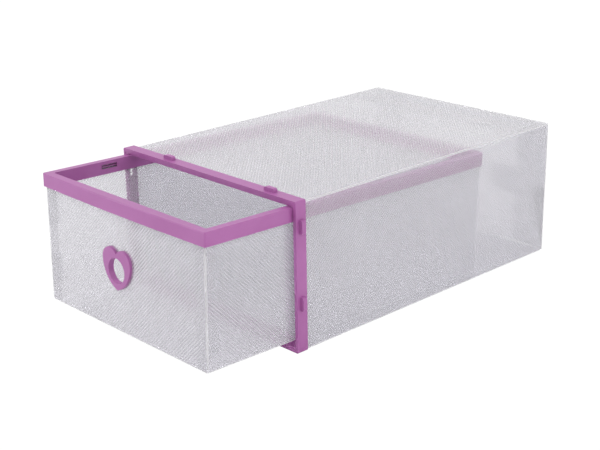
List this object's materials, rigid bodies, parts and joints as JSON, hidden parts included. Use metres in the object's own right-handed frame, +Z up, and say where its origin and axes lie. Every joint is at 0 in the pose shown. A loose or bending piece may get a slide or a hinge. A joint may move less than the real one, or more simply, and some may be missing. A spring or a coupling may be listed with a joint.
{
  "type": "drawer shoe box",
  "caption": "Clear folded-sheet shoe box with a moulded mouth frame and a pull-out drawer that has a moulded rim and a heart-shaped finger pull.",
  "frame": {"origin": "middle of the sleeve's footprint, on the surface the box stands on", "axes": "+Z up, the mouth and the drawer's front face -Y, +X to the right seen from the front"},
  "size_m": [0.2143, 0.3944, 0.1243],
  "materials": {
    "clear_sheet": "frosted translucent polypropylene sheet with a fine ribbed grain",
    "drawer_clear_sheet": "frosted translucent polypropylene sheet with a fine ribbed grain",
    "lilac_plastic": "satin moulded polypropylene"
  },
  "bodies": {
    "sleeve": {"sleeve_sheet": "clear_sheet", "mouth_frame": "lilac_plastic"},
    "drawer": {"drawer_sheet": "drawer_clear_sheet", "drawer_rim": "lilac_plastic", "heart_pull": "lilac_plastic", "pull_backing": "lilac_plastic"}
  },
  "joints": [
    {"name": "drawer_slide", "type": "slide", "parent": "sleeve", "child": "drawer", "axis": [0, -0.9997, 0.0245], "range_m": [-0.0846, 0.235]}
  ]
}
